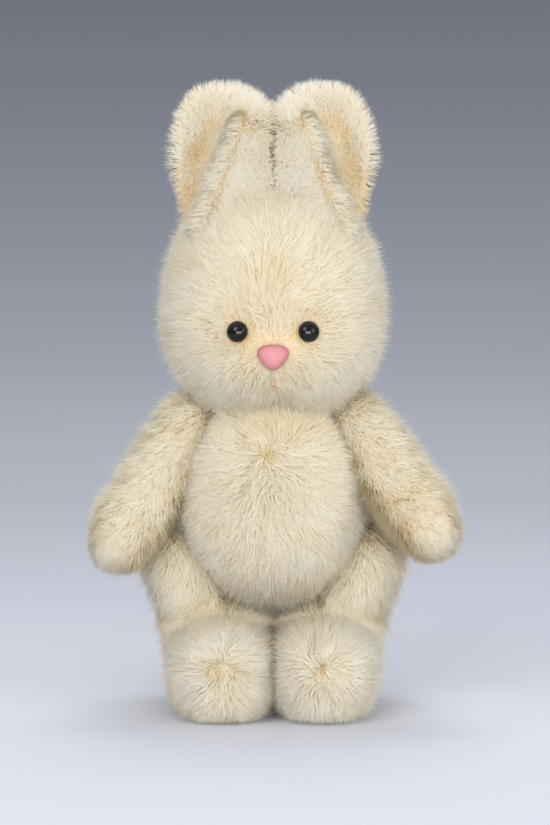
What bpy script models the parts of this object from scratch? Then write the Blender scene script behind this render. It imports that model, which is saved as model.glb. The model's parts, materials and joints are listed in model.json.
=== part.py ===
# Jointed plush rabbit, standing. Metres, +Z up, the rabbit faces -Y and its left side is +X.
# The origin is on the floor, at the middle of the rabbit's box.
import math

import bmesh
import bpy
import numpy as np
from mathutils import Matrix, Vector

MM = 0.001

# Driving dimensions.
AXIS_Y = 4.5 * MM           # the body's upright axis stands this far behind the box's middle
SKIN = 3.6 * MM             # plush cloth with half of its pile
GAP = 0.3 * MM              # between pieces that touch
STUFFING_GAP = 3.0 * MM     # between a skin and what fills it
BLEND = 8.0                 # how tightly the lumps of one soft form run together

NECK_Z = 146 * MM
SHOULDER_X = 28.5 * MM
SHOULDER_Z = 129.5 * MM
ARM_SPLAY = {"left": math.radians(34), "right": math.radians(29.5)}
ARM_SWING = {"left": math.radians(27), "right": math.radians(17)}    # how far forward each arm hangs
HIP_X = 30 * MM
HIP_Y = 8 * MM
HIP_Z = 68 * MM
HIP_TILT = math.radians(22)

EYE_X = 16.6 * MM
EYE_Z = 181.5 * MM
EYE_RADIUS = 5 * MM
EYE_STEM = 1.6 * MM         # radius
NOSE_Z = 170.5 * MM
NOSE_WIDTH = 13.8 * MM
NOSE_HEIGHT = 11.8 * MM
NOSE_STEM = 1.8 * MM        # radius
FACE_SEAT = -1.2 * MM       # the backs of the eyes and nose lie this far below the plush
STEM_LENGTH = 11 * MM       # of the eyes and the nose
FACE_WASHER = 5.5 * MM      # radius
FACE_WASHER_THICK = 1.4 * MM
FACE_ROOM = 6 * MM          # radius of the space in the stuffing round a stem and its washer
MOUTH_THREAD = 0.9 * MM     # thickness

TAIL_RADIUS = 14.5 * MM
TAIL_PLACE = (0, AXIS_Y + 37 * MM, 66 * MM)

BOARD_LENGTH = 42 * MM
BOARD_WIDTH = 22 * MM
BOARD_THICK = 1.6 * MM
BOARD_X = 24 * MM
BOARD_Y = AXIS_Y - 20 * MM
BOARD_CORNER = 0.8          # 1 is an oval, less is squarer

JOINT = {
    "neck": {"disc": 12.5 * MM, "washer": 11.5 * MM},
    "shoulder": {"disc": 8.5 * MM, "washer": 9.5 * MM},
    "hip": {"disc": 10.5 * MM, "washer": 9 * MM},
}
DISC_THICK = 2.4 * MM
WASHER_THICK = 1.8 * MM
LOCK_THICK = 2.2 * MM
LOCK_RADIUS = 6 * MM
POST_RADIUS = 3.0 * MM
POST_HOLE = 3.5 * MM
POST_END = 12 * MM          # how far a post reaches past its joint's plane, into the body

TURN_STEPS = 16
SIDES = {"left": 1, "right": -1}

COLOURS = {
    "plush": ((0.80, 0.70, 0.50), 0.95),
    "filling": ((0.90, 0.90, 0.88), 1.0),
    "joint": ((0.75, 0.75, 0.72), 0.45),
    "eye": ((0.010, 0.010, 0.012), 0.06),
    "nose": ((0.77, 0.33, 0.34), 0.55),
    "thread": ((0.74, 0.36, 0.40), 0.8),
    "board": ((0.55, 0.47, 0.36), 0.9),
}


# Scene, collections, materials.
def clear_scene():
    for obj in list(bpy.data.objects):
        bpy.data.objects.remove(obj, do_unlink=True)


def new_collection(name):
    collection = bpy.data.collections.new(name)
    bpy.context.scene.collection.children.link(collection)
    return collection


def material(name, kind):
    colour, roughness = COLOURS[kind]
    made = bpy.data.materials.new(name)
    made.use_nodes = True
    shader = made.node_tree.nodes["Principled BSDF"]
    shader.inputs["Base Color"].default_value = (*colour, 1)
    shader.inputs["Roughness"].default_value = roughness
    shader.inputs["Metallic"].default_value = 0
    return made


clear_scene()
PARTS = new_collection("plush_rabbit")
CUTTERS = new_collection("cutters")


def add_object(name, mesh, kind=None, frame=None):
    """A part if it has a kind of material, otherwise a cutter, which isn't rendered."""
    obj = bpy.data.objects.new(name, mesh)
    obj.matrix_world = frame or Matrix()
    if kind:
        obj.data.materials.append(material(name, kind))
        PARTS.objects.link(obj)
    else:
        CUTTERS.objects.link(obj)
        obj.hide_render = True
        obj.display_type = "WIRE"
    return obj


def pivot(name, place):
    """An empty on a joint's axis, which carries the pieces that move with it."""
    empty = bpy.data.objects.new(name, None)
    empty.location = place
    PARTS.objects.link(empty)
    return empty


def carry(empty, *pieces):
    for piece in pieces:
        piece.parent = empty
        piece.matrix_parent_inverse = Matrix.Translation(-empty.location)


def cut(obj, *cutters, operation="DIFFERENCE"):
    for cutter in cutters:
        modifier = obj.modifiers.new(cutter.name, "BOOLEAN")
        modifier.operation = operation
        modifier.object = cutter
        modifier.solver = "EXACT"


# Soft forms.
# A soft form is a centre, lumps that run together, and flats that press on it. Each lump is a rounded box:
# |x/a|^e + |y/b|^e + |z/c|^e = 1 in its own axes, with separate a, b, c on the plus and minus sides.
def lump(place, high, low=None, roundness=2.4, axes=None):
    return {
        "place": np.array(place),
        "high": np.array(high),
        "low": np.array(low or high),
        "roundness": roundness,
        "axes": np.eye(3) if axes is None else np.array(axes).T,
    }


def flat(normal, point, gap=GAP / 2):
    """A flat that the form stays behind, by half the gap that two pressed forms keep."""
    normal = np.array(normal, float)
    return normal, float(normal @ np.array(point)) - gap


def level(form, points, inset):
    """1 on the form's surface, less inside it: the p-norm of the lumps' own levels."""
    total = np.zeros(len(points))
    for piece in form["lumps"]:
        local = (points - piece["place"]) @ piece["axes"]
        radii = np.where(local > 0, piece["high"], piece["low"]) - inset
        own = (np.abs(local / radii) ** piece["roundness"]).sum(axis=1) ** (1 / piece["roundness"])
        total += np.maximum(own, 1e-6) ** -BLEND
    return total ** (-1 / BLEND)


def reach(form, directions, inset=0.0):
    """How far the form's surface is from its centre in each direction, found by halving."""
    near = np.zeros(len(directions))
    away = np.full(len(directions), 0.2)
    for _ in range(30):
        middle = (near + away) / 2
        inside = level(form, form["centre"] + middle[:, None] * directions, inset) < 1
        near = np.where(inside, middle, near)
        away = np.where(inside, away, middle)
    for group in form["flats"]:
        # Where a group has several flats, the form may pass one of them as long as it is behind another.
        limit = np.zeros(len(directions))
        for normal, offset in group:
            towards = directions @ normal
            room = offset - inset - form["centre"] @ normal
            limit = np.maximum(limit, np.where(towards > 1e-6, room / np.maximum(towards, 1e-6), 1.0))
        near = np.minimum(near, limit)
    return near


def soft_mesh(name, form, inset=0.0, segments=24, rings=14):
    """A sphere primitive with each vertex moved out to the form's surface."""
    shape = bmesh.new()
    bmesh.ops.create_uvsphere(shape, u_segments=segments, v_segments=rings, radius=1)
    mesh = bpy.data.meshes.new(name)
    shape.to_mesh(mesh)
    shape.free()
    directions = np.empty(len(mesh.vertices) * 3)
    mesh.vertices.foreach_get("co", directions)
    directions = directions.reshape(-1, 3) @ form["pole"].T
    directions /= np.linalg.norm(directions, axis=1)[:, None]
    points = form["centre"] + reach(form, directions, inset)[:, None] * directions
    mesh.vertices.foreach_set("co", points.ravel())
    mesh.shade_smooth()
    mesh.update()
    return mesh


def pole_along(direction):
    """Axes whose Z is this direction, for a sphere whose poles lie along it."""
    return np.array(Vector(direction).to_track_quat("Z", "Y").to_matrix())


def skin(name, form, segments=24, rings=14):
    """A closed plush cover. Its holes for posts and stems open it."""
    obj = add_object(name, soft_mesh(name, form, 0, segments, rings), "plush")
    shell = obj.modifiers.new("cloth", "SOLIDIFY")
    shell.thickness = SKIN
    shell.offset = -1
    shell.use_even_offset = True
    return obj


def stuffing(name, form, segments=16, rings=10):
    return add_object(name, soft_mesh(name, form, SKIN + STUFFING_GAP, segments, rings), "filling")


def surface_point(form, start, direction):
    """Where a ray from inside the form comes out, and the surface's normal there."""
    start, direction = np.array(start), np.array(direction)
    near, away = 0.0, 0.2
    for _ in range(40):
        middle = (near + away) / 2
        if level(form, (start + middle * direction)[None], 0)[0] < 1:
            near = middle
        else:
            away = middle
    point = start + near * direction
    step = 0.2 * MM
    probes = np.concatenate([point + step * np.eye(3), point - step * np.eye(3)])
    levels = level(form, probes, 0)
    slope = levels[:3] - levels[3:]
    return Vector(point), Vector(slope).normalized()


# Turned and drawn pieces.
def frame_at(point, direction):
    """A frame at the point, with Z along the direction."""
    return Matrix.Translation(point) @ Vector(direction).to_track_quat("Z", "Y").to_matrix().to_4x4()


def turned(name, profile, frame, kind=None, ring=False, steps=TURN_STEPS):
    """Turns (radius, height) points, given top to bottom down the outer side, round the frame's Z."""
    mesh = bpy.data.meshes.new(name)
    count = len(profile)
    edges = [(i, i + 1) for i in range(count - 1)]
    if ring:
        edges.append((count - 1, 0))
    mesh.from_pydata([(radius, 0, height) for radius, height in profile], edges, [])
    obj = add_object(name, mesh, kind, frame)
    screw = obj.modifiers.new("turn", "SCREW")
    screw.steps = steps
    screw.render_steps = steps
    screw.use_merge_vertices = True
    screw.merge_threshold = 0.00001
    screw.use_smooth_shade = False
    return obj


def rod(name, radius, top, bottom, frame, kind=None, steps=TURN_STEPS):
    return turned(name, [(0, top), (radius, top), (radius, bottom), (0, bottom)], frame, kind, steps=steps)


def washer(name, radius, hole, top, thick, frame):
    profile = [(hole, top), (radius, top), (radius, top - thick), (hole, top - thick)]
    return turned(name, profile, frame, "joint", ring=True)


def drawn_thread(name, points, thickness):
    """A thread along the points, as a closed mesh."""
    curve = bpy.data.curves.new(name, "CURVE")
    curve.dimensions = "3D"
    curve.bevel_depth = thickness / 2
    curve.bevel_resolution = 2
    curve.use_fill_caps = True
    spline = curve.splines.new("POLY")
    spline.points.add(len(points) - 1)
    for place, point in zip(spline.points, points):
        place.co = (*point, 1)
    return add_object(name, curve, "thread")


# Disc joints.
def disc_joint(place, kind, point, outward, limb_pieces, body_pieces):
    """A joint at its plane: the disc and its post in the limb, the washer in the body, the lock on the post.

    The frame's Z points into the limb. The skins are holed for the post, and the stuffing is
    hollowed for the hardware on its own side.
    """
    size = JOINT[kind]
    frame = frame_at(point, outward)
    limb_face = SKIN + 2 * GAP
    disc_profile = [
        (0, limb_face + DISC_THICK),
        (size["disc"], limb_face + DISC_THICK),
        (size["disc"], limb_face),
        (POST_RADIUS, limb_face),
        (POST_RADIUS, -POST_END),
        (0, -POST_END),
    ]
    disc = turned(place + "_joint_disc", disc_profile, frame, "joint")
    washer_top = -(SKIN + 2 * GAP)
    ring = washer(place + "_washer", size["washer"], POST_HOLE, washer_top, WASHER_THICK, frame)
    lock_top = washer_top - WASHER_THICK - GAP
    lock = washer(place + "_joint_lock", LOCK_RADIUS, POST_HOLE - GAP / 2, lock_top, LOCK_THICK, frame)

    # The disc and the washer press a flat seat into the back of each skin.
    hole = rod(place + "_post_hole", POST_HOLE + GAP, 2 * SKIN, -2 * SKIN, frame)
    disc_seat = rod(place + "_disc_seat", size["disc"] + GAP, limb_face + 2 * SKIN, limb_face - GAP, frame)
    washer_seat = rod(place + "_washer_seat", size["washer"] + GAP, washer_top + GAP, -POST_END, frame)
    limb_room = rod(
        place + "_limb_room", size["disc"] + GAP, limb_face + DISC_THICK + GAP, -SKIN, frame
    )
    body_room = rod(place + "_body_room", size["washer"] + GAP, SKIN, -POST_END - GAP, frame)
    limb_skin, limb_filling = limb_pieces
    body_skin, body_filling = body_pieces
    cut(limb_skin, hole, disc_seat)
    cut(body_skin, hole, washer_seat)
    cut(limb_filling, limb_room)
    cut(body_filling, body_room)
    return disc, ring, lock


# Body.
def shoulder_frame(side):
    """The shoulder's point, its outward axis, and the way down along its plane."""
    sign, splay = SIDES[side], ARM_SPLAY[side]
    point = np.array([sign * SHOULDER_X, AXIS_Y, SHOULDER_Z])
    outward = np.array([sign * math.cos(splay), 0, math.sin(splay)])
    down = np.array([sign * math.sin(splay), 0, -math.cos(splay)])
    return point, outward, down


def hip_frame(side):
    """The hip's point, its outward axis, and the way up along its plane."""
    sign = SIDES[side]
    point = np.array([sign * HIP_X, AXIS_Y + HIP_Y, HIP_Z])
    outward = np.array([sign * math.cos(HIP_TILT), 0, -math.sin(HIP_TILT)])
    up = np.array([sign * math.sin(HIP_TILT), 0, math.cos(HIP_TILT)])
    return point, outward, up


def body_form():
    flats = [[flat((0, 0, 1), (0, 0, NECK_Z))]]
    for side in SIDES:
        point, outward, _ = shoulder_frame(side)
        flats.append([flat(outward, point)])
        point, outward, _ = hip_frame(side)
        flats.append([flat(outward, point)])
    return {
        "centre": np.array([0, AXIS_Y, 97 * MM]),
        "pole": np.eye(3),
        "lumps": [
            lump(
                (0, AXIS_Y, 97 * MM),
                (41 * MM, 38 * MM, 64 * MM),
                (41 * MM, 42 * MM, 43 * MM),
                roundness=2.25,
            )
        ],
        "flats": flats,
    }


def head_form():
    return {
        "centre": np.array([0, AXIS_Y, 190 * MM]),
        "pole": np.eye(3),
        "lumps": [
            lump(
                (0, AXIS_Y, 185 * MM),
                (48.5 * MM, 44 * MM, 60 * MM),
                (48.5 * MM, 43 * MM, 44 * MM),
                roundness=2.3,
            ),
            lump(
                (0, AXIS_Y - 16 * MM, 170 * MM),
                (33 * MM, 30 * MM, 24 * MM),
                (33 * MM, 33 * MM, 21.5 * MM),
                roundness=2.2,
            ),
        ],
        "flats": [[flat((0, 0, -1), (0, 0, NECK_Z))]],
    }


def arm_form(side):
    point, outward, down = shoulder_frame(side)
    forward = np.array([0, -1.0, 0])
    along = down * math.cos(ARM_SWING[side]) + forward * math.sin(ARM_SWING[side])
    across = np.cross(along, outward)
    axes = (outward, across, along)
    middle = point + 11.5 * MM * outward + 31 * MM * along
    top = point + 9 * MM * outward + 3 * MM * along
    paw = point + 13.5 * MM * outward + 60 * MM * along
    return {
        "centre": middle,
        "pole": pole_along(along),
        "lumps": [
            lump(middle, (15 * MM, 16 * MM, 45 * MM), (15 * MM, 16 * MM, 43.5 * MM), 2.5, axes),
            lump(top, (13.3 * MM, 14.6 * MM, 12.8 * MM), roundness=2.2, axes=axes),
            lump(paw, (14.5 * MM, 17.5 * MM, 19.5 * MM), roundness=2.6, axes=axes),
        ],
        "flats": [[flat(-outward, point)]],
    }


def leg_form(side):
    sign = SIDES[side]
    point, outward, up = hip_frame(side)
    haunch = point + 13 * MM * outward
    across = np.cross(up, outward)
    foot = (sign * 23.5 * MM, AXIS_Y - 20 * MM, 18 * MM)
    return {
        "centre": np.array([sign * 36 * MM, AXIS_Y, 35 * MM]),
        "pole": pole_along((0, -1, 0)),
        "lumps": [
            lump(
                haunch,
                (16.5 * MM, 25 * MM, 24.5 * MM),
                (16.5 * MM, 26 * MM, 32 * MM),
                roundness=2.3,
                axes=(outward, across, up),
            ),
            lump((sign * 26 * MM, AXIS_Y + 4 * MM, 34 * MM), (22.5 * MM, 22 * MM, 28 * MM), roundness=2.2),
            lump(foot, (22 * MM, 42 * MM, 24 * MM), (22 * MM, 42 * MM, 23 * MM), roundness=2.4),
        ],
        "flats": [
            [flat((0, 0, -1), (0, 0, 0), gap=0)],
            [flat((-sign, 0, 0), (sign * 1.0 * MM, 0, 0))],
            [flat(-outward, point), flat((0, 0, 1), (0, 0, 45.5 * MM))],
        ],
    }


# Ears.
# An ear is a thick leaf: a flattened sphere whose outline, in X and Z, is a rounded box, and whose middle
# sheet is cupped forward at the rim, with a lobe folded forward on the inner side of a slanting crease.
EAR = {
    "place": (23.5 * MM, 262 * MM),
    "out": 22.5 * MM,
    "in": 25 * MM,
    "up": 32 * MM,
    "down": 40 * MM,
    "roundness": 2.7,
    "base_y": AXIS_Y - 2 * MM,
    "lean": 0.10,
    "half_thickness": 6.5 * MM,
    "cup": 7 * MM,
    "crease_top": (18.5 * MM, 279 * MM),
    "crease_foot": (32.5 * MM, 240 * MM),
    "lobe": 7 * MM,
    "hollow": 3 * MM,
    "middle_gap": 0.35 * MM,
}


def smooth_step(value, start, end):
    t = np.clip((value - start) / (end - start), 0, 1)
    return t * t * (3 - 2 * t)


def ear_points(directions):
    """Points of the left ear for directions on a unit sphere whose poles are front and back."""
    across, depth, up = directions.T
    rim = np.hypot(across, up)
    angle = np.arctan2(up, across)
    wide = np.where(across > 0, EAR["out"], EAR["in"])
    tall = np.where(up > 0, EAR["up"], EAR["down"])
    power = EAR["roundness"]
    outline = (np.abs(np.cos(angle) / wide) ** power + np.abs(np.sin(angle) / tall) ** power) ** (-1 / power)
    x = EAR["place"][0] + rim * outline * np.cos(angle)
    z = EAR["place"][1] + rim * outline * np.sin(angle)
    (top_x, top_z), (foot_x, foot_z) = EAR["crease_top"], EAR["crease_foot"]
    length = math.hypot(foot_x - top_x, foot_z - top_z)
    # Distance to the outer side of the crease line, and how much of the fold there is at this height.
    beside = ((x - top_x) * (top_z - foot_z) + (z - top_z) * (foot_x - top_x)) / length
    window = smooth_step(z, top_z + 10 * MM, top_z - 8 * MM)
    fold = EAR["lobe"] * smooth_step(beside, 2 * MM, -5 * MM)
    dip = EAR["hollow"] * smooth_step(beside, -2 * MM, 4 * MM) * smooth_step(beside, 20 * MM, 6 * MM)
    y = EAR["base_y"] + EAR["lean"] * (z - EAR["place"][1]) + depth * EAR["half_thickness"]
    y = y - EAR["cup"] * rim**2 + window * (dip - fold)
    return np.column_stack([np.maximum(x, EAR["middle_gap"]), y, z])


def ear(side):
    shape = bmesh.new()
    bmesh.ops.create_uvsphere(shape, u_segments=22, v_segments=12, radius=1)
    name = "ear_" + side
    mesh = bpy.data.meshes.new(name)
    shape.to_mesh(mesh)
    shape.free()
    directions = np.empty(len(mesh.vertices) * 3)
    mesh.vertices.foreach_get("co", directions)
    # The sphere's poles go front and back.
    directions = directions.reshape(-1, 3)[:, [0, 2, 1]] * (1, -1, 1)
    points = ear_points(directions)
    if SIDES[side] < 0:
        points[:, 0] *= -1
        mesh.flip_normals()
    mesh.vertices.foreach_set("co", points.ravel())
    mesh.shade_smooth()
    mesh.update()
    return add_object(name, mesh, "plush")


# Face.
def face_lock(name, frame, stem_radius, depth):
    """The lock washer pressed on a stem behind the skin."""
    return washer(name, FACE_WASHER, stem_radius + GAP, -SKIN - depth, FACE_WASHER_THICK, frame)


def clear_stem(name, frame, stem_radius, skin_piece, filling):
    """The hole for a stem in the skin, and the room round it in the stuffing."""
    hole = rod(name + "_stem_hole", stem_radius + 2 * GAP, 2 * MM, -2 * SKIN, frame)
    cut(skin_piece, hole)
    room_foot = FACE_SEAT - STEM_LENGTH - GAP
    cut(filling, rod(name + "_room", FACE_ROOM, 4 * MM, room_foot, frame))


def eye(side, form, skin_piece, filling):
    """A moulded dome on a stem, seated in the skin, and its lock washer inside."""
    point, normal = surface_point(form, (SIDES[side] * EYE_X, AXIS_Y, EYE_Z), (0, -1, 0))
    frame = frame_at(point, normal)
    shoulder = FACE_SEAT + 1 * MM
    dome_height = 0.8 * EYE_RADIUS
    profile = []
    for angle in np.radians(np.linspace(0, 90, 6)):
        profile.append((EYE_RADIUS * math.sin(angle), shoulder + dome_height * math.cos(angle)))
    foot = FACE_SEAT - STEM_LENGTH
    profile += [(EYE_RADIUS, FACE_SEAT), (EYE_STEM, FACE_SEAT), (EYE_STEM, foot), (0, foot)]
    eye_piece = turned("eye_" + side, profile, frame, "eye")
    cut(skin_piece, rod("eye_seat_" + side, EYE_RADIUS + GAP, 4 * MM, FACE_SEAT - GAP, frame))
    clear_stem("eye_" + side, frame, EYE_STEM, skin_piece, filling)
    return eye_piece, face_lock("eye_washer_" + side, frame, EYE_STEM, 1.8 * MM)


def nose_cushion(frame):
    """A squashed ball whose outline swells at three corners, higher in front than behind."""
    middle = FACE_SEAT + 1.6 * MM
    front, back = 4.2 * MM, 1.6 * MM
    corner_swell = 0.10
    shape = bmesh.new()
    bmesh.ops.create_uvsphere(shape, u_segments=24, v_segments=10, radius=1)
    for vertex in shape.verts:
        x, y, height = vertex.co
        corner = 1 + corner_swell * math.sin(3 * math.atan2(y, x))
        vertex.co.x = x * corner * NOSE_WIDTH / 2 / 0.97
        vertex.co.y = y * corner * NOSE_HEIGHT / 2
        vertex.co.z = middle + height * (front if height > 0 else back)
    mesh = bpy.data.meshes.new("nose")
    shape.to_mesh(mesh)
    shape.free()
    mesh.shade_smooth()
    cushion = add_object("nose", mesh, "nose", frame)
    stem = rod("nose_stem", NOSE_STEM, middle, FACE_SEAT - STEM_LENGTH, frame)
    cut(cushion, stem, operation="UNION")
    return cushion


def nose(form, skin_piece, filling):
    """The moulded nose with its stem, seated in the skin, and its lock washer inside."""
    point, _ = surface_point(form, (0, AXIS_Y, NOSE_Z), (0, -1, 0))
    frame = Matrix.Translation(point) @ Matrix.Rotation(math.radians(90), 4, "X")
    cushion = nose_cushion(frame)
    cut(skin_piece, rod("nose_seat", NOSE_WIDTH / 2 + GAP, 6 * MM, FACE_SEAT - GAP, frame, steps=30))
    clear_stem("nose", frame, NOSE_STEM, skin_piece, filling)
    return cushion, face_lock("nose_washer", frame, NOSE_STEM, 2.9 * MM)


def on_face(form, x, z, height):
    """A point this far above the face's surface at x and z."""
    point, normal = surface_point(form, (x, AXIS_Y, z), (0, -1, 0))
    return point + normal * height


def mouth(form):
    """A thread straight down from the nose, and the pulled thread of the lip that makes an upside-down V."""
    lift = MOUTH_THREAD / 2 + GAP
    upper_top, upper_foot = 163.4 * MM, 156.8 * MM
    upper = [on_face(form, 0, z, lift) for z in np.linspace(upper_top, upper_foot, 6)]
    lip_top, lip_foot, lip_half = 155.4 * MM, 153.0 * MM, 4.2 * MM
    lower = []
    for t in np.linspace(-1, 1, 9):
        lower.append(on_face(form, t * lip_half, lip_top + (lip_foot - lip_top) * abs(t) ** 1.5, lift))
    upper_thread = drawn_thread("mouth_thread", upper, MOUTH_THREAD)
    return upper_thread, drawn_thread("lip_thread", lower, MOUTH_THREAD)


# The whole rabbit.
def sole_board(side, filling):
    """A stiff board inside the sole, with rounded ends, and the room for it in the stuffing."""
    top = SKIN + 4 * GAP + BOARD_THICK
    frame = Matrix.Translation((SIDES[side] * BOARD_X, BOARD_Y, top - BOARD_THICK / 2))
    shape = bmesh.new()
    bmesh.ops.create_cone(shape, cap_ends=True, segments=28, radius1=1, radius2=1, depth=1)
    for vertex in shape.verts:
        # A rounded box outline from the round one: each side is raised to a power below 1.
        vertex.co.x = math.copysign(abs(vertex.co.x) ** BOARD_CORNER, vertex.co.x) * BOARD_WIDTH / 2
        vertex.co.y = math.copysign(abs(vertex.co.y) ** BOARD_CORNER, vertex.co.y) * BOARD_LENGTH / 2
        vertex.co.z *= BOARD_THICK
    mesh = bpy.data.meshes.new("sole_board_" + side)
    shape.to_mesh(mesh)
    shape.free()
    room = mesh.copy()
    wider, longer, thicker = 1 + 2 * GAP / BOARD_WIDTH, 1 + 2 * GAP / BOARD_LENGTH, 3
    room.transform(Matrix.Diagonal((wider, longer, thicker, 1)))
    cut(filling, add_object("sole_room_" + side, room, None, frame))
    return add_object("sole_board_" + side, mesh, "board", frame)


def tail(form):
    shape = bmesh.new()
    bmesh.ops.create_uvsphere(shape, u_segments=16, v_segments=10, radius=TAIL_RADIUS)
    mesh = bpy.data.meshes.new("tail")
    shape.to_mesh(mesh)
    shape.free()
    mesh.shade_smooth()
    ball = add_object("tail", mesh, "plush", Matrix.Translation(TAIL_PLACE))
    cut(ball, add_object("tail_seat", soft_mesh("tail_seat", form, -1.5 * GAP)))


def limb(side, kind, form, hub_frame, filling, body_pieces, segments, rings):
    """A limb's skin and its joint, both carried by the joint's empty."""
    names = {"shoulder": "arm", "hip": "leg"}
    point, outward, _ = hub_frame(side)
    limb_skin = skin(f"{names[kind]}_{side}_skin", form, segments, rings)
    disc, _, lock = disc_joint(f"{kind}_{side}", kind, point, outward, (limb_skin, filling), body_pieces)
    carry(pivot(f"{kind}_{side}_pivot", point), limb_skin, filling, disc, lock)


def head_and_face(body_pieces):
    form = head_form()
    head_skin = skin("head_skin", form)
    filling = stuffing("head_stuffing", form)
    point = (0, AXIS_Y, NECK_Z)
    disc, _, lock = disc_joint("neck", "neck", point, (0, 0, 1), (head_skin, filling), body_pieces)
    crown = add_object("ear_seat", soft_mesh("ear_seat", form, -1.5 * GAP))
    ears = [ear(side) for side in SIDES]
    for piece in ears:
        cut(piece, crown)
    face = [piece for side in SIDES for piece in eye(side, form, head_skin, filling)]
    face += [*nose(form, head_skin, filling), *mouth(form)]
    carry(pivot("neck_pivot", point), head_skin, filling, disc, lock, *ears, *face)


def build():
    form = body_form()
    body_pieces = (skin("body_skin", form), stuffing("body_stuffing", form))
    tail(form)
    head_and_face(body_pieces)
    for side in SIDES:
        form = arm_form(side)
        filling = stuffing(f"arm_{side}_stuffing", form, 12, 9)
        limb(side, "shoulder", form, shoulder_frame, filling, body_pieces, 16, 12)

        form = leg_form(side)
        filling = stuffing(f"leg_{side}_stuffing", form, 14, 11)
        board = sole_board(side, filling)
        limb(side, "hip", form, hip_frame, filling, body_pieces, 22, 16)
        carry(bpy.data.objects[f"hip_{side}_pivot"], board)


build()
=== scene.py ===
# Jointed plush rabbit in long cream pile. Metres, +Z up, the rabbit faces -Y and its left is +X.
import json
import math

import bpy
import numpy as np
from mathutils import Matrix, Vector


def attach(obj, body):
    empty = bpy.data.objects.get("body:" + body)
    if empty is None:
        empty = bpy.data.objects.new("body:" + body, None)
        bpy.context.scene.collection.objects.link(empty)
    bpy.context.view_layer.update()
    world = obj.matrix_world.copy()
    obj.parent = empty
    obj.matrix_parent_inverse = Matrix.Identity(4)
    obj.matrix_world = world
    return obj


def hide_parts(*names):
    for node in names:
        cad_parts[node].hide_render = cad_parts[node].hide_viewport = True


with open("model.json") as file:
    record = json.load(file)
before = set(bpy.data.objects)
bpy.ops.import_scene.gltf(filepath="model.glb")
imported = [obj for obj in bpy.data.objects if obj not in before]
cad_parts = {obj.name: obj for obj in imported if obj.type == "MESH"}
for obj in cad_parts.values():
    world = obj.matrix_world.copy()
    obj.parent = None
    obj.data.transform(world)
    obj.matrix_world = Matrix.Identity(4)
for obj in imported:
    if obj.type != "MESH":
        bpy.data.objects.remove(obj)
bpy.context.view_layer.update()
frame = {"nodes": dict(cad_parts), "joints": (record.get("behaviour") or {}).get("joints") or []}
mm = 0.001
sides = {"left": 1, "right": -1}
joints = {joint["name"]: joint for joint in frame["joints"]}
neckPoint = np.array(joints["neck_turn"]["pos_m"])
axisY = neckPoint[1]
print("frame loaded:", len(frame["nodes"]), "nodes")

# For every soft part: the cloth's depth in the solid, which is drawn at mid pile, the gap left at a flat, the
# power that blends the lumps, and the pile's least height.
cloth = {"under": 2.8 * mm, "gap": 0.15 * mm, "blend": 8.0, "floor": 0.4 * mm}


def latticeHash(cells, seed):
    # Numbers that look random but stay the same: each place's three whole numbers are multiplied by large odd
    # numbers, mixed by shifts, and scaled to 0..1.
    x, y, z = [cells[..., k].astype(np.int64) * odd for k, odd in enumerate((73856093, 19349663, 83492791))]
    mixed = x ^ y ^ z ^ seed * 2654435761
    mixed = (mixed ^ (mixed >> 13)) * 1274126177 & 0x7FFFFFFF
    mixed = (mixed ^ (mixed >> 16)) * 2246822519 & 0x7FFFFFFF
    return (mixed ^ (mixed >> 15)) % 1048576 / 1048576


def smoothNoise(points, size, seed):
    # Hashed values on a lattice of this size, mixed between its eight corners with 3t^2 - 2t^3. From -1 to 1.
    scaled = points / size
    base = np.floor(scaled)
    part = scaled - base
    part = part * part * (3 - 2 * part)
    total = np.zeros(len(points))
    for corner in range(8):
        step = np.array([corner & 1, corner >> 1 & 1, corner >> 2])
        weight = np.prod(np.where(step, part, 1 - part), axis=1)
        total += weight * latticeHash(base + step, seed)
    return 2 * total - 1


def tuftsAt(points, size, seed):
    # Each lattice cell holds one tuft, set off its corner by hashed numbers. Gives the place of the nearest
    # tuft of the 27 cells round a point and two numbers of its own.
    base = np.floor(points / size)
    best = np.full(len(points), 1e9)
    place = np.zeros_like(points)
    own = np.zeros((len(points), 2))
    for shift in np.stack(np.meshgrid(*[[-1, 0, 1]] * 3), -1).reshape(-1, 3):
        cell = base + shift
        offset = np.stack([latticeHash(cell, seed + k) for k in range(3)], axis=1)
        centre = (cell + offset) * size
        apart = ((centre - points) ** 2).sum(axis=1)
        closer = apart < best
        best = np.where(closer, apart, best)
        place[closer] = centre[closer]
        own[closer] = np.stack([latticeHash(cell, seed + 7), latticeHash(cell, seed + 8)], axis=1)[closer]
    return place, own


def unit(vectors, least=1e-9):
    # Each vector over its length, or over the least length where it is shorter than that.
    return vectors / np.maximum(np.linalg.norm(vectors, axis=-1, keepdims=True), least)


def ramp(value, start, end):
    # 0 up to the start, 1 from the end on, and 3t^2 - 2t^3 between; it falls when the end is the lower one.
    t = np.clip((value - start) / (end - start), 0, 1)
    return t * t * (3 - 2 * t)


def band(value, start, end):
    # The same ramp of a length in metres, between a start and an end in millimetres.
    return ramp(value, start * mm, end * mm)


def atX(points, start, end):
    # The ramp of how far aside of the middle plane the points are. Next, how far behind the axis and how
    # high.
    return band(np.abs(points[:, 0]), start, end)


def atY(points, start, end):
    return ramp(points[:, 1], axisY + start * mm, axisY + end * mm)


def atZ(points, start, end):
    return band(points[:, 2], start, end)


def near(points, place, inner, outer):
    # 1 within the inner distance of a place, falling to 0 at the outer one, both in millimetres.
    return band(np.linalg.norm(points - place, axis=1), outer, inner)


def lump(place, high, low=None, roundness=2.4, axes=None):
    # A rounded box: its place, its radii to the high and the low side of its axes, and its power.
    return {
        "place": np.array(place),
        "high": np.array(high) * mm,
        "low": np.array(low or high) * mm,
        "roundness": roundness,
        "axes": np.eye(3) if axes is None else np.array(axes).T,
    }


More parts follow.
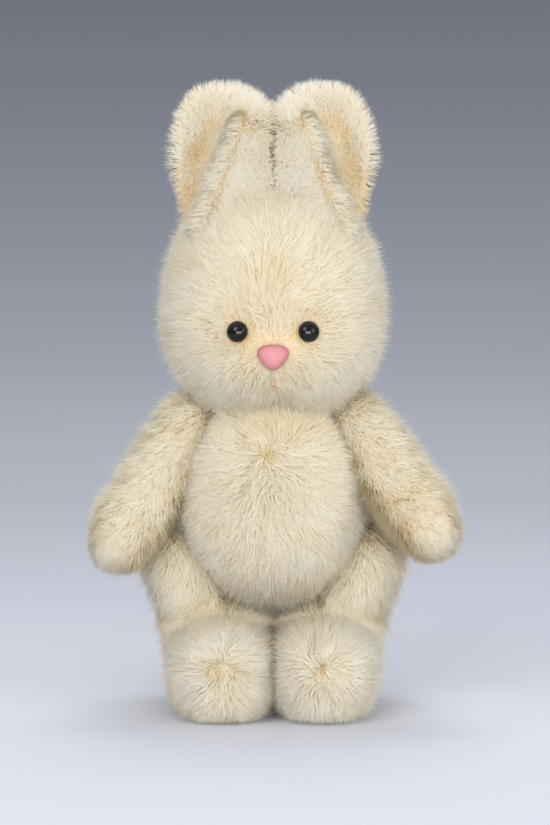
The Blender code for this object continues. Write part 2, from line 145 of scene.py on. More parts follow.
def flat(normal, point, gap=cloth["gap"]):
    # A plane that presses a form: its normal, and how far along it the plane lies, less the gap.
    normal = np.array(normal, float)
    return normal, float(normal @ np.array(point)) - gap


def level(form, points, inset=0.0):
    # 1 on the surface and less inside. Each lump gives (|x/a|^e + |y/b|^e + |z/c|^e)^(1/e), and a p-norm with
    # the blend's power, below zero, joins them.
    total = np.zeros(len(points))
    for piece in form["lumps"]:
        local = (points - piece["place"]) @ piece["axes"]
        radii = np.where(local > 0, piece["high"], piece["low"]) - inset
        own = (np.abs(local / radii) ** piece["roundness"]).sum(axis=1) ** (1 / piece["roundness"])
        total += np.maximum(own, 1e-6) ** -cloth["blend"]
    return total ** (-1 / cloth["blend"])


def reach(form, start, directions, inset=0.0):
    # The distance to the surface along each direction, found by halving, then cut short by the flats.
    inner, outer = np.zeros(len(directions)), np.full(len(directions), 0.2)
    for _ in range(30):
        middle = (inner + outer) / 2
        inside = level(form, start + middle[:, None] * directions, inset) < 1
        inner, outer = np.where(inside, middle, inner), np.where(inside, outer, middle)
    for group in form["flats"]:
        limit = np.zeros(len(directions))
        for normal, offset in group:
            towards = directions @ normal
            room = offset - inset - start @ normal
            limit = np.maximum(limit, np.where(towards > 1e-6, room / np.maximum(towards, 1e-6), 1.0))
        inner = np.minimum(inner, limit)
    return inner


def onFront(form, x, z):
    # The point where a ray forward from the axis leaves the form, with x and z in millimetres, and the slope
    # of the form's level there as its normal.
    start, ahead, step = np.array([x * mm, axisY, z * mm]), np.array([0, -1.0, 0]), 0.2 * mm
    point = start + reach({**form, "flats": []}, start, ahead[None])[0] * ahead
    levels = level(form, np.concatenate([point + step * np.eye(3), point - step * np.eye(3)]))
    return point, unit(levels[:3] - levels[3:])


def jointFrame(kind, side):
    # A joint's point and the direction out into its limb.
    joint = joints[f"{kind}_{side}_swing"]
    return np.array(joint["pos_m"]), -sides[side] * np.array(joint["axis"])


# The soft forms, in millimetres and degrees, as in the solids.
body = {"middle": 97, "high": (41, 38, 64), "low": (41, 42, 43), "roundness": 2.25}
head = {"middle": 185, "high": (48.5, 44, 60), "low": (48.5, 43, 44), "roundness": 2.3, "centre": 190}
muzzle = {"forward": 16, "middle": 170, "high": (33, 30, 24), "low": (33, 33, 21.5), "roundness": 2.2}
arm = {
    "swing": {"left": 27, "right": 17},
    "lumps": [  # out from the shoulder, down the arm, high, low, roundness
        (11.5, 31, (15, 16, 45), (15, 16, 43.5), 2.5),
        (9, 3, (13.3, 14.6, 12.8), None, 2.2),
        (13.5, 60, (14.5, 17.5, 19.5), None, 2.6),
    ],
}
leg = {
    "haunch": {"out": 13, "high": (16.5, 25, 24.5), "low": (16.5, 26, 32), "roundness": 2.3},
    "ankle": {"x": 26, "back": 4, "z": 34, "size": (22.5, 22, 28), "roundness": 2.2},
    "foot": {"x": 23.5, "back": -20, "z": 18, "size": (22, 42, 23), "roundness": 2.4},
    "centreX": 36, "centreZ": 35, "ceiling": 45.5,
}


def bodyForm():
    # One egg, pressed at the neck, the shoulders and the hips.
    limbs = [jointFrame(kind, side) for side in sides for kind in ("shoulder", "hip")]
    place = (0, axisY, body["middle"] * mm)
    return {
        "centre": np.array(place),
        "lumps": [lump(place, body["high"], body["low"], body["roundness"])],
        "flats": [[flat((0, 0, 1), neckPoint)], *[[flat(outward, point)] for point, outward in limbs]],
    }


def headForm():
    # The skull and the muzzle in front of it, pressed at the neck.
    skull = lump((0, axisY, head["middle"] * mm), head["high"], head["low"], head["roundness"])
    front = (0, axisY - muzzle["forward"] * mm, muzzle["middle"] * mm)
    return {
        "centre": np.array([0, axisY, head["centre"] * mm]),
        "lumps": [skull, lump(front, muzzle["high"], muzzle["low"], muzzle["roundness"])],
        "flats": [[flat((0, 0, -1), neckPoint)]],
    }


def armAxis(side):
    # Down the shoulder's plane, swung forward.
    _, outward = jointFrame("shoulder", side)
    down = np.array([sides[side] * outward[2], 0, -abs(outward[0])])
    swing = math.radians(arm["swing"][side])
    return down * math.cos(swing) + np.array([0, -1.0, 0]) * math.sin(swing)


def armForm(side):
    # A long lump with a rounder one at the shoulder and at the paw, pressed at the shoulder.
    point, outward = jointFrame("shoulder", side)
    along = armAxis(side)
    axes = (outward, np.cross(along, outward), along)
    lumps = [lump(point + out * mm * outward + down * mm * along, high, low, roundness, axes)
             for out, down, high, low, roundness in arm["lumps"]]
    return {"centre": lumps[0]["place"], "lumps": lumps, "flats": [[flat(-outward, point)]]}


def legForm(side):
    # Haunch, ankle and foot, pressed at the floor, at the other leg, and at the hip or under the body.
    sign, haunch = sides[side], leg["haunch"]
    point, outward = jointFrame("hip", side)
    up = np.array([-sign * outward[2], 0, abs(outward[0])])
    axes = (outward, np.cross(up, outward), up)
    place = point + haunch["out"] * mm * outward
    lumps = [lump(place, haunch["high"], haunch["low"], haunch["roundness"], axes)]
    for piece in (leg["ankle"], leg["foot"]):
        place = (sign * piece["x"] * mm, axisY + piece["back"] * mm, piece["z"] * mm)
        lumps.append(lump(place, piece["size"], None, piece["roundness"]))
    return {
        "centre": np.array([sign * leg["centreX"] * mm, axisY, leg["centreZ"] * mm]),
        "lumps": lumps,
        "flats": [
            [flat((0, 0, -1), (0, 0, 0), 0)],
            [flat((-sign, 0, 0), (sign * mm, 0, 0))],
            [flat(-outward, point), flat((0, 0, 1), (0, 0, leg["ceiling"] * mm))],
        ],
    }


def sphereGrid(across, up):
    # Directions by longitude and latitude with one point at each pole, and the triangles between them.
    longitude = np.arange(across) / across * 2 * math.pi
    latitude = (np.arange(1, up) / up - 0.5) * math.pi
    lon, lat = np.meshgrid(longitude, latitude)
    ring = np.stack([np.cos(lat) * np.cos(lon), np.cos(lat) * np.sin(lon), np.sin(lat)], -1).reshape(-1, 3)
    directions = np.concatenate([[[0, 0, -1.0]], ring, [[0, 0, 1.0]]])
    row, column = np.meshgrid(np.arange(up - 2), np.arange(across), indexing="ij")
    a = (1 + row * across + column).ravel()
    b = (1 + row * across + (column + 1) % across).ravel()
    c, d = b + across, a + across
    around = np.arange(across)
    after = (around + 1) % across
    last = 1 + (up - 2) * across
    bottom = np.stack([np.zeros_like(around), 1 + after, 1 + around], 1)
    top = np.stack([np.full_like(around, last + across), last + around, last + after], 1)
    triangles = np.concatenate([bottom, np.stack([a, b, c], 1), np.stack([a, c, d], 1), top])
    return directions, triangles


def withNormals(points, triangles):
    # A vertex's normal is the sum of the cross products of the triangles round it.
    corners = points[triangles]
    crossed = np.cross(corners[:, 1] - corners[:, 0], corners[:, 2] - corners[:, 0])
    normals = np.zeros_like(points)
    for k in range(3):
        np.add.at(normals, triangles[:, k], crossed)
    return {"points": points, "normals": unit(normals), "triangles": triangles}


def softSurface(form, pole=(0, 0, 1), across=120, up=84):
    # The form's surface, a little inside the solid, with the grid's poles along the given direction.
    directions, triangles = sphereGrid(across, up)
    third = unit(np.array(pole, float))
    first = unit(np.cross((0.31, 0.87, 0.38), third))  # the tilted vector is only one that no pole runs along
    directions = directions @ np.stack([first, np.cross(third, first), third])
    points = form["centre"] + reach(form, form["centre"], directions, cloth["under"])[:, None] * directions
    return withNormals(points, triangles)


def newObject(name, mesh, material, bodyName, node=None):
    # Links a mesh as a piece, with its material, its body and the node it stands for.
    made = bpy.data.objects.new(name, mesh)
    bpy.context.scene.collection.objects.link(made)
    made.data.materials.append(material)
    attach(made, bodyName)
    if node:
        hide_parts(node)
    return made


def meshFrom(name, points, faces, smooth=True):
    mesh = bpy.data.meshes.new(name)
    mesh.from_pydata(points, [], faces)
    mesh.polygons.foreach_set("use_smooth", np.full(len(mesh.polygons), smooth))
    mesh.update()
    return mesh


def setUvs(mesh, uvs):
    mesh.uv_layers.new(name="OFBake").data.foreach_set("uv", uvs.astype(np.float32).ravel())


def strandMesh(name, left, right, tips, tones, shade):
    # Left and right hold each blade's root and middle points. A blade is a four-sided face and a triangle,
    # and its UVs are its tone across and root to tip upward. Shade is the normal it is lit by, mostly the
    # cloth's, because a pile spreads the light that enters it.
    count = len(tips)
    points = np.stack([left[:, 0], right[:, 0], left[:, 1], right[:, 1], tips], 1).reshape(-1, 3)
    mesh = bpy.data.meshes.new(name)
    mesh.vertices.add(count * 5)
    mesh.vertices.foreach_set("co", points.astype(np.float32).ravel())
    corners = (np.arange(count)[:, None] * 5 + np.array([0, 1, 3, 2, 2, 3, 4])).astype(np.int32)
    mesh.loops.add(count * 7)
    mesh.loops.foreach_set("vertex_index", corners.ravel())
    starts = (np.arange(count)[:, None] * 7 + np.array([0, 4])).astype(np.int32)
    mesh.polygons.add(count * 2)
    mesh.polygons.foreach_set("loop_start", starts.ravel())
    mesh.polygons.foreach_set("use_smooth", np.ones(count * 2, bool))
    toneStep = 0.003  # a blade's small width in UV, so that no face is flat there
    uvs = np.empty((count, 7, 2), np.float32)
    uvs[..., 0] = np.clip(tones, 0.01, 0.99)[:, None] + np.array([-1, 1, 1, -1, -1, 1, 0]) * toneStep
    uvs[..., 1] = np.array([0.02, 0.02, 0.5, 0.5, 0.5, 0.5, 0.98])
    setUvs(mesh, uvs)
    mesh.update(calc_edges=True)
    mesh.normals_split_custom_set_from_vertices(np.repeat(shade, 5, axis=0))
    return mesh


# What every strand shares: how many there may be on a piece, the sizes in millimetres and the strengths of
# the slow changes over the cloth, and how far one strand strays from the next.
strand = {
    "thinned": 0.95, "most": 58000, "waveSize": 9, "riseSize": 7, "riseWave": 0.14, "riseStray": 0.14,
    "flyawayRise": 0.4, "flyawayLength": 1.22, "shorter": 0.4, "toneSize": 11, "toneWave": 0.15, "toneTuft": 0.08,
    "toneStray": 0.12,
}
# The pile's usual look: strands to a square millimetre, sizes in millimetres, the turns and rises of a
# strand, and the share of the cloth's normal in what lights it.
usualLook = {
    "perMm2": 6.0, "width": 0.24, "tuft": 4.2, "gather": 0.16, "wave": 0.45, "swirl": 0.16, "stray": 0.34,
    "rise": 0.85, "bend": 0.42, "droop": 0.2, "flyaway": 0.1, "soft": 0.85, "twist": 0.4,
    "tilt": (0, 0, 0), "lift": lambda points: 0,
}


def growFur(name, surface, bodyName, seed, **changes):
    # Roots fall on each triangle in step with its area and weight. A strand rises between the normal and the
    # comb, bends over towards the comb and down, and leans in to its tuft's middle.
    look = {**usualLook, **changes}
    rng = np.random.default_rng(seed)
    triangles = surface["triangles"]
    corners = surface["points"][triangles]
    crossed = np.cross(corners[:, 1] - corners[:, 0], corners[:, 2] - corners[:, 0])
    area = np.linalg.norm(crossed, axis=1) / 2
    share = np.cumsum(area * look["where"](corners.mean(axis=1), unit(crossed)))
    count = min(int(share[-1] / mm**2 * look["perMm2"] * strand["thinned"]), strand["most"])
    picks = np.searchsorted(share, (np.arange(count) + rng.random(count)) / count * share[-1])
    picks = np.minimum(picks, len(triangles) - 1)
    a, b = rng.random(count), rng.random(count)
    a, b = np.where(a + b > 1, 1 - a, a), np.where(a + b > 1, 1 - b, b)
    weights = np.stack([1 - a - b, a, b], 1)[..., None]
    roots = (corners[picks] * weights).sum(axis=1)
    normals = unit((surface["normals"][triangles[picks]] * weights).sum(axis=1))

    comb = look["comb"](roots, normals)
    comb = comb - (comb * normals).sum(axis=1, keepdims=True) * normals
    comb = unit(comb, 0.8)  # a comb weaker than this stays weak, so the strands stand up there
    sideways = np.cross(normals, comb)
    place, own = tuftsAt(roots, look["tuft"] * mm, seed)
    turn = look["wave"] * smoothNoise(roots, strand["waveSize"] * mm, seed + 20)
    turn = turn + look["swirl"] * (2 * own[:, 0] - 1)
    turn = turn + look["stray"] * rng.normal(size=count)
    comb = comb * np.cos(turn)[:, None] + sideways * np.sin(turn)[:, None]
    rise = look["rise"] + look["lift"](roots)
    rise = rise + strand["riseWave"] * smoothNoise(roots, strand["riseSize"] * mm, seed + 30)
    rise = rise + strand["riseStray"] * rng.normal(size=count)
    flyaway = rng.random(count) < look["flyaway"]
    rise = np.where(flyaway, rise + strand["flyawayRise"], rise)
    rise = np.clip(rise, 0.1, 1.6)[:, None]
    length = look["length"](roots) * mm * (1 - strand["shorter"] * rng.random(count) ** 2)
    length = length * (0.92 + 0.16 * own[:, 1])
    length = np.where(flyaway, length * strand["flyawayLength"], length)[:, None]

    inward = place - roots
    inward -= (inward * normals).sum(axis=1, keepdims=True) * normals
    pull = look["gather"] * np.where(flyaway, 0.2, 1)[:, None]
    first = unit(normals * rise + comb * np.maximum(1 - 0.5 * rise, 0.15))
    bend = look["bend"] * (0.6 + 0.8 * rng.random(count))[:, None]
    bent = comb + (0, 0, -look["droop"])
    second = unit(first * (1 - bend) + unit(bent) * bend)
    middle = roots + 0.5 * length * first + 0.35 * pull * inward
    tips = middle + 0.5 * length * second + 0.55 * pull * inward

    twist = look["twist"] * rng.normal(size=count)[:, None]
    wide = look["width"] * mm * (0.8 + 0.4 * rng.random(count))[:, None]
    flatSide = unit(np.cross(first, normals) + 1e-6)
    across = unit(flatSide * np.cos(twist) + np.cross(flatSide, first) * np.sin(twist))
    bladeNormal = unit(np.cross(across, first))
    outward = np.where((bladeNormal * normals).sum(axis=1, keepdims=True) < 0, -1, 1)
    across, bladeNormal = across * outward, bladeNormal * outward
    for points in (middle, tips):
        points[:, 2] = np.maximum(points[:, 2], cloth["floor"])
    halfRoot, halfMiddle = 0.5 * wide * across, 0.42 * wide * across
    left = np.stack([roots - halfRoot, middle - halfMiddle], 1)
    right = np.stack([roots + halfRoot, middle + halfMiddle], 1)
    for points in (left, right):
        points[..., 2] = np.maximum(points[..., 2], cloth["floor"])
    tones = look["tone"](roots, normals) + strand["toneTuft"] * (own[:, 1] - 0.5)
    tones = tones + strand["toneStray"] * rng.normal(size=count)
    tones = tones + strand["toneWave"] * smoothNoise(roots, strand["toneSize"] * mm, seed + 40)
    facing = unit(normals + np.array(look["tilt"]))
    shade = unit(facing * look["soft"] + bladeNormal * (1 - look["soft"]))
    newObject(name, strandMesh(name, left, right, tips, tones, shade), pile, bodyName)
    print(name, count, "strands")


def colour(text):
    # sRGB hex to linear: c / 12.92 up to 0.04045, ((c + 0.055) / 1.055)^2.4 above.
    parts = [int(text[k:k + 2], 16) / 255 for k in (0, 2, 4)]
    return (*[c / 12.92 if c <= 0.04045 else ((c + 0.055) / 1.055) ** 2.4 for c in parts], 1)


def addNode(tree, kind, settings={}):
    # Gives a node's outputs: settings are its properties, its ramp's stops, and its inputs' values or
    # sources.
    node = tree.nodes.new("ShaderNode" + kind)
    for key, value in settings.items():
        if isinstance(value, bpy.types.NodeSocket):
            tree.links.new(value, node.inputs[key])
        elif key == "stops":
            setRamp(node.color_ramp.elements, value)
        elif isinstance(key, int) or key in node.inputs.keys():
            node.inputs[key].default_value = value
        else:
            setattr(node, key, value)
    return node.outputs


def setRamp(ramps, stops):
    while len(ramps) > 1:
        ramps.remove(ramps[-1])
    ramps[0].position, ramps[0].color = stops[0][0], colour(stops[0][1])
    for place, text in stops[1:]:
        ramps.new(place).color = colour(text)


def uvParts(tree):
    # The UV map's two numbers: a strand's tone or the way round a piece, and the way along it.
    return addNode(tree, "SeparateXYZ", {0: addNode(tree, "UVMap", {"uv_map": "OFBake"})[0]})


def newMaterial(name, settings):
    made = bpy.data.materials.new(name)
    made.use_nodes = True
    shader = made.node_tree.nodes["Principled BSDF"]
    for key, value in settings.items():
        shader.inputs[key].default_value = value
    return made, made.node_tree, shader


def finishMaterial(tree, shader, shades, height=None, strength=0.0, depth=0.0):
    # Colour from a ramp and, where there is a height, a bump of this depth in metres.
    tree.links.new(shades[0], shader.inputs["Base Color"])
    if height:
        bump = addNode(tree, "Bump", {"Strength": strength, "Distance": depth, "Height": height})
        tree.links.new(bump[0], shader.inputs["Normal"])


# Colours along a strand, each a ramp over the strand's own tone, and where along it each takes over.
# The darker gold towards the root is partly painted shade.
pileColours = {
    "root": [(0.0, "D8B468"), (0.45, "E9D39C"), (1.0, "F0E3C0")],
    "middle": [(0.0, "EDD9A6"), (0.45, "F7EDD0"), (1.0, "FBF6E6")],
    "tip": [(0.0, "F6E8C6"), (0.45, "FBF5E3"), (1.0, "FEFCF4")],
    "rootEnd": 0.12,
    "middleAt": 0.45,
    "tipAt": 0.85,
    "through": 0.45,
}


def pileMaterial():
    # Long-pile plush of brushed acrylic fibre: golden near the cloth, cream along it and almost white at the
    # tip, so that a parting shows gold. The gold near the cloth is partly the fibre's colour and partly painted
    # shade, the warm shade deep in the pile. Fine fibre scatters light, so it's rough with a low sheen, and it
    # lets nearly half of the light through, which fills the pile with a soft warm glow.
    made, tree, shader = newMaterial("longPilePlush", {
        "Roughness": 0.62, "IOR": 1.45, "Specular IOR Level": 0.35, "Sheen Weight": 0.12,
        "Sheen Roughness": 0.5})
    parts = uvParts(tree)
    tone, along = parts[0], parts[1]
    mixed = addNode(tree, "ValToRGB", {"stops": pileColours["root"], 0: tone})[0]
    for name, start, end in (("middle", "rootEnd", "middleAt"), ("tip", "middleAt", "tipAt")):
        shades = addNode(tree, "ValToRGB", {"stops": pileColours[name], 0: tone})
        share = addNode(tree, "MapRange", {1: pileColours[start], 2: pileColours[end], 0: along})
        mixed = addNode(tree, "Mix", {"data_type": "RGBA",
                         0: share[0], 6: mixed, 7: shades[0]})[2]
    tree.links.new(mixed, shader.inputs["Base Color"])
    through = addNode(tree, "BsdfTranslucent", {"Color": mixed})
    both = addNode(tree, "MixShader", {0: pileColours["through"],
                    1: shader.outputs[0], 2: through[0]})
    tree.links.new(both[0], tree.nodes["Material Output"].inputs["Surface"])
    return made


def backingMaterial():
    # Knitted backing cloth with the feet of the pile: golden tan, which is partly painted shade of the deep
    # pile, with 1 mm stitches and broad dye variation.
    made, tree, shader = newMaterial("knittedBacking", {
        "Roughness": 0.9, "IOR": 1.45, "Specular IOR Level": 0.2})
    place = addNode(tree, "TexCoord")["Object"]
    stitches = addNode(tree, "TexNoise", {"Scale": 900.0, "Detail": 3.0, "Vector": place})[0]
    broad = addNode(tree, "TexNoise", {"Scale": 90.0, "Detail": 2.0, "Vector": place})
    half = addNode(tree, "Math", {"operation": "MULTIPLY", 1: 0.5, 0: broad[0]})
    both = addNode(tree, "Math", {"operation": "MULTIPLY_ADD", 1: 0.5, 0: stitches, 2: half[0]})
    shades = addNode(tree, "ValToRGB", {"stops": [(0.3, "D8B574"), (0.5, "E6CB98"), (0.7, "EEDCB4")],
                      0: both[0]})
    finishMaterial(tree, shader, shades, stitches, 0.6, 0.0006)
    return made


def speckled(name, settings, dark, light, grain, bumpDepth=0.0):
    # A plain material with a fine mottle between two close shades and a bump of its grain, in millimetres.
    made, tree, shader = newMaterial(name, settings)
    place = addNode(tree, "TexCoord")["Object"]
    noise = addNode(tree, "TexNoise", {"Scale": 1 / (grain * mm), "Detail": 4.0, "Vector": place})
    shades = addNode(tree, "ValToRGB", {"stops": [(0.35, dark), (0.65, light)], 0: noise[0]})
    finishMaterial(tree, shader, shades, noise[0] if bumpDepth else None, 0.7, bumpDepth * mm)
    return made


pile = pileMaterial()
backing = backingMaterial()
# Polished black acrylic: a clean hard gloss with a faint cloud in the black.
eyeGloss = speckled("polishedBlackAcrylic", {"Roughness": 0.06, "IOR": 1.49, "Specular IOR Level": 0.4},
                    "030304", "070708", 2.5)
# White fibre filling, moulded white polypropylene and pressed fibre board, which are inside.
filling = speckled("polyesterFilling", {"Roughness": 1.0, "IOR": 1.45}, "E4E4DF", "F4F4F0", 1.5, 0.6)
plastic = speckled("mouldedPolypropylene", {"Roughness": 0.42, "IOR": 1.49}, "DCDCD6", "E4E4DE", 0.8, 0.02)
board = speckled("pressedFibreBoard", {"Roughness": 0.9, "IOR": 1.5}, "8A7A62", "A39479", 0.6, 0.08)


def assignInside():
    # The solids inside the cloth keep their shapes and get their real materials.
    finishes = {"stuffing": filling, "washer": plastic, "disc": plastic, "lock": plastic, "board": board}
    for name, node in frame["nodes"].items():
        for word, finish in finishes.items():
            if word in name:
                node.data.materials.clear()
                node.data.materials.append(finish)


assignInside()


def cover(name, surface, bodyName, node):
    # The backing cloth of one stuffed part.
    mesh = meshFrom(name, surface["points"], surface["triangles"])
    newObject(name, mesh, backing, bodyName, node)


def spread(points, place, size, seed):
    # Away from a place, wandering and slower where it is nearer than this size, so that no star shows there.
    wander = np.stack([smoothNoise(points, 5 * mm, seed + k) for k in range(3)], axis=1)
    return unit((points - place) / (size * mm) + 0.4 * wander, 1)


def offPlane(points, point, normal, radius):
    # 0 on the pressed face round a joint, 1 clear of its plane or outside its radius in millimetres.
    away = (points - point) @ normal
    beside = np.linalg.norm(points - point - away[:, None] * normal, axis=1)
    return np.maximum(band(np.abs(away), 2.6, 4.2), band(beside, radius, radius + 3))


headShape = headForm()
headSurface = softSurface(headShape, (0, 0, 1), 150, 100)
cover("headCloth", headSurface, "head", "head_skin")
face = {"eyeX": 16.6, "eyeZ": 181.5, "eyeRadius": 5, "noseZ": 170.5, "noseWidth": 13.8, "noseHeight": 11.8,
        "browZ": 176, "chinZ": 152}
eyePlaces = {side: onFront(headShape, sides[side] * face["eyeX"], face["eyeZ"]) for side in sides}
nosePoint, browPoint, chinPoint = [onFront(headShape, 0, face[key])[0] for key in ("noseZ", "browZ", "chinZ")]
# Lengths in millimetres and the shares clipped off round the eyes, nose and mouth, then the tone and how much
# more golden it is in each place; the gold above the eyes and under the mouth is painted shade.
headPile = {
    "length": 12.0, "frontShorter": 1.0, "eyeClip": 0.60, "noseClip": 0.60, "mouthClip": 0.40, "beard": 7.0,
    "tone": 0.62, "parting": 0.30, "crown": 0.20, "browShade": 0.16, "mouth": 0.12, "front": 6.6, "back": 4.6,
}


def headComb(points, normals):
    # Away from the brow, up over the crown and down behind, parted along the forehead, and away from eyes and
    # nose.
    behind = atY(points, -20, 20)
    flow = spread(points, browPoint, 16, 70) + behind[:, None] * (0, 0, -1.2)
    flow[:, 2] -= 0.35 * (atZ(points, 178, 160) * (1 - behind))
    parting = atX(points, 18, 0) * atZ(points, 184, 194) * (1 - behind)
    flow[:, 0] += 0.3 * parting * points[:, 0] / (6 * mm)
    for place, _ in eyePlaces.values():
        flow += 1.3 * near(points, place, 6, 13)[:, None] * unit(points - place)
    flow += 1.6 * near(points, nosePoint, 7, 14)[:, None] * unit(points - nosePoint)
    flow[:, 0] += 0.6 * near(points, chinPoint, 6, 13) * np.clip(points[:, 0] / (5 * mm), -1, 1)
    return flow


def headLength(points):
    front = atY(points, 0, -30)
    length = headPile["length"] - headPile["frontShorter"] * front
    for place, _ in eyePlaces.values():
        length *= 1 - headPile["eyeClip"] * near(points, place, 6, 17)
    length *= 1 - headPile["noseClip"] * near(points, nosePoint, 8, 20)
    length *= 1 - headPile["mouthClip"] * near(points, chinPoint, 3, 10)
    return length + headPile["beard"] * front * atZ(points, 159, 149)


def headTone(points, normals):
    front = atY(points, -5, -25)
    height = atZ(points, 180, 190) * atZ(points, 222, 204)
    tone = headPile["tone"] - headPile["parting"] * atX(points, 9, 0) * height * front
    tone -= headPile["crown"] * atZ(points, 224, 236)
    # Painted shade: darker gold above each eye, where the brow's fur overhangs it.
    for place, _ in eyePlaces.values():
        tone -= headPile["browShade"] * near(points, place + (0, 0, 5 * mm), 5, 15)
    # Painted shade: darker gold under the mouth.
    return tone - headPile["mouth"] * near(points, chinPoint, 2, 8)


def headWhere(front):
    # Clear of the neck, the eyes and the nose, in the front or the back half.
    def where(points, normals):
        keep = offPlane(points, neckPoint, np.array([0, 0, 1.0]), 24)
        for place, _ in eyePlaces.values():
            keep = keep * (1 - near(points, place, 4.6, 5.4))
        keep = keep * (1 - near(points, nosePoint, 5.0, 5.8))
        isFront = points[:, 1] < axisY - 4 * mm
        return keep * (isFront if front else ~isFront)
    return where


for number, (name, front) in enumerate({"headFurFront": True, "headFurBack": False}.items()):
    growFur(name, headSurface, "head", 11 + number, comb=headComb, length=headLength, tone=headTone,
            where=headWhere(front), perMm2=headPile["front" if front else "back"])
print("head done")

bodyShape = bodyForm()
bodySurface = softSurface(bodyShape, (0, 0, 1), 140, 96)
cover("bodyCloth", bodySurface, "torso", "body_skin")
chest = onFront(bodyShape, 0, 114)[0]
# Lengths in millimetres, the lift at the chest, the tone and how much more golden it is in each place; the
# gold under the chin and at the belly's foot over the feet is painted shade.
bodyPile = {
    "length": 10.5, "lowLonger": 6.5, "sideLonger": 2.0, "lift": 0.3, "tone": 0.64, "chest": 0.04, "neck": 0.36,
    "low": 0.15, "front": 6.6, "back": 4.6,
}


def bodyComb(points, normals):
    # Away from a point on the chest in front, straight down behind.
    behind = atY(points, -15, 10)[:, None]
    flow = spread(points, chest, 28, 75) + (0, 0, -0.25)
    return flow * (1 - behind) + (0, 0.15, -1.0) * behind


def bodyLength(points):
    longer = bodyPile["lowLonger"] * atZ(points, 70, 56)
    return bodyPile["length"] + longer + bodyPile["sideLonger"] * atX(points, 26, 36)


def bodyTone(points, normals):
    tone = bodyPile["tone"] - bodyPile["chest"] * near(points, chest, 3, 24)
    # Painted shade: darker gold at the top under the chin and at the foot of the belly over the feet.
    return tone - bodyPile["neck"] * atZ(points, 118, 136) - bodyPile["low"] * atZ(points, 62, 52)


def bodyWhere(front):
    # Clear of the neck's, the shoulders' and the hips' flats, in the front or the back half.
    def where(points, normals):
        keep = offPlane(points, neckPoint, np.array([0, 0, 1.0]), 22)
        for side in sides:
            for kind, radius in (("shoulder", 10), ("hip", 14)):
                point, outward = jointFrame(kind, side)
                keep = keep * offPlane(points, point, outward, radius)
        isFront = points[:, 1] < axisY
        return keep * (isFront if front else ~isFront)
    return where


for number, (name, front) in enumerate({"bodyFurFront": True, "bodyFurBack": False}.items()):
    growFur(name, bodySurface, "torso", 21 + number, comb=bodyComb, length=bodyLength, tone=bodyTone,
            where=bodyWhere(front), perMm2=bodyPile["front" if front else "back"],
            lift=lambda points: bodyPile["lift"] * near(points, chest, 4, 24))
print("body done")

# Lengths in millimetres, the tone and the painted shade of darker gold at the armpit, and the coarser tufts.
armPile = {
    "length": 11.0, "middleLonger": 1.0, "pawShorter": 5.0, "tone": 0.60, "armpitShade": 0.42,
    "look": {"perMm2": 7.2, "tuft": 5.4, "gather": 0.26, "swirl": 0.25},
}


def growArm(side, seed):
    # Combed down the arm and outward, longest in the middle and short over the paw.
    form = armForm(side)
    along = armAxis(side)
    point, outward = jointFrame("shoulder", side)
    surface = softSurface(form, along, 96, 84)
    cover(f"armCloth.{side}", surface, "arm_" + side, f"arm_{side}_skin")

    def comb(points, normals):
        return along + 0.35 * outward + 0.15 * unit(points - form["centre"])

    def length(points):
        down = (points - point) @ along
        longer = armPile["length"] + armPile["middleLonger"] * band(down, 10, 35)
        return longer - armPile["pawShorter"] * band(down, 45, 72)

    def tone(points, normals):
        # Painted shade: darker gold near the shoulder's flat, where the arm meets the body.
        return armPile["tone"] - armPile["armpitShade"] * band((points - point) @ outward, 10, 0)

    def where(points, normals):
        return offPlane(points, point, outward, 9)

    growFur(f"armFur.{side}", surface, "arm_" + side, seed, comb=comb, length=length, tone=tone, where=where,
            **armPile["look"])


for number, side in enumerate(sides):
    growArm(side, 31 + number)
print("arms done")

# Places and lengths in millimetres, the lift at the toe, the tone, how much more golden each place is, which
# at the crease, on the inner side and near the floor is painted shade, how much paler the toe, and the
# sole's share of strands.
legPile = {
    "toeZ": 26, "toeAhead": 60, "footTop": 40, "creaseZ": 44, "length": 11.5, "footShorter": 0.5,
    "highLonger": 3.0, "creaseLonger": 2.0, "soleShorter": 0.5, "lift": 0.2, "tone": 0.66, "crease": 0.26,
    "inner": 0.32, "low": 0.10, "toe": 0.14, "onSole": 0.35, "look": {"perMm2": 6.6, "tuft": 5.0},
}


